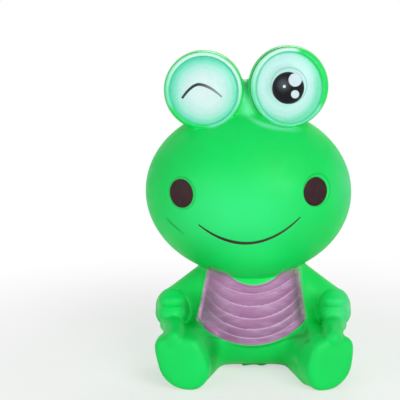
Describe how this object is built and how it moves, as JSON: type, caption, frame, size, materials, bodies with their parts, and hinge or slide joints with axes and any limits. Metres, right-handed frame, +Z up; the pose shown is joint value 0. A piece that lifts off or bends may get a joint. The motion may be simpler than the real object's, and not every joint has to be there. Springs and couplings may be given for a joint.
{
  "type": "squeaky bath toy",
  "caption": "Hollow soft vinyl bath toy shaped as a sitting frog with a round head, a winking eye and a ribbed painted belly, with a reed squeaker snapped into its seat.",
  "frame": {"origin": "on the floor, under the middle of the toy's box in width and depth", "axes": "+Z up, the frog faces -Y, +X to the right as seen from its front, which is the frog's left"},
  "size_m": [0.1228, 0.1188, 0.1887],
  "materials": {
    "green_vinyl": "soft satin vinyl, smooth, slightly glossy on its crowns",
    "eye_white": "sprayed white coat with a mint green blend at its edge",
    "ink_black": "sprayed black coat, glossy",
    "face_brown": "sprayed dark brown coat with soft edges",
    "belly_mauve": "sprayed mauve coat, fading into green under the chin",
    "squeaker_white": "natural moulded polyethylene",
    "reed_clear": "thin clear film"
  },
  "bodies": {
    "toy": {"vinyl_body": "green_vinyl", "squeaker_cup": "squeaker_white", "reed_holder": "squeaker_white", "reed_clip": "squeaker_white", "wink_eye_field": "eye_white", "open_eye_field": "eye_white", "wink_line": "ink_black", "pupil": "ink_black", "pupil_highlights": "eye_white", "right_face_eye": "face_brown", "left_face_eye": "face_brown", "mouth_line": "face_brown", "belly_coat": "belly_mauve"},
    "reed": {"reed": "reed_clear"}
  },
  "joints": [
    {"name": "reed_flex", "type": "hinge", "parent": "toy", "child": "reed", "pos_m": [0.0028, 0.01507, 0.0112], "axis": [1, 0, 0], "range_deg": [-3, 4], "stiffness_Nm_per_rad": 0.0025}
  ]
}
